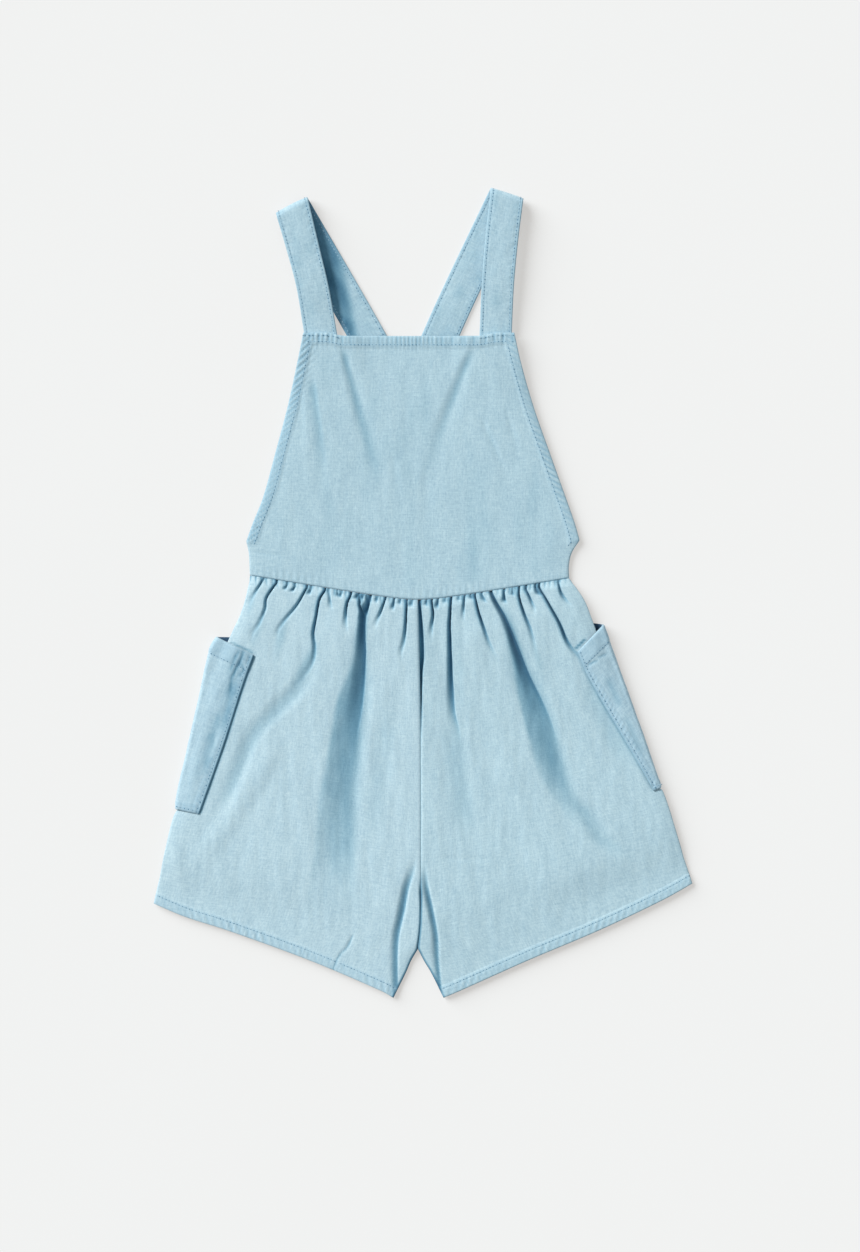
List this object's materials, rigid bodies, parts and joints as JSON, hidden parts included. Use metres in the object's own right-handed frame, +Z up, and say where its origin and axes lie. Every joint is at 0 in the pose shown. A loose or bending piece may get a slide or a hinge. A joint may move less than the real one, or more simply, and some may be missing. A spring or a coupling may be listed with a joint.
{
  "type": "playsuit",
  "caption": "Child's sleeveless playsuit laid flat on its back: square bib, wide crossed shoulder straps, gathered waist seam, short flared legs and side pockets.",
  "frame": {"origin": "middle of the playsuit's outline, on the surface that it lies on", "axes": "+X to the viewer's right, +Y towards the shoulder straps, +Z up out of the garment's front"},
  "size_m": [0.4304, 0.647, 0.0112],
  "materials": {
    "bib_cloth": "soft matt chambray with a fine weave",
    "strap_cloth": "soft matt chambray, doubled and edge-stitched",
    "leg_cloth": "soft matt chambray with faint vertical slubs",
    "pocket_cloth": "soft matt chambray, a little deeper in tone",
    "back_cloth": "soft matt chambray, its inner side to the surface"
  },
  "bodies": {
    "root": {"bib_front": "bib_cloth", "strap_left": "strap_cloth", "strap_right": "strap_cloth", "front_leg_left": "leg_cloth", "front_leg_right": "leg_cloth", "pocket_left": "pocket_cloth", "pocket_right": "pocket_cloth", "back_waist": "back_cloth", "back_leg_left": "back_cloth", "back_leg_right": "back_cloth"}
  },
  "joints": []
}
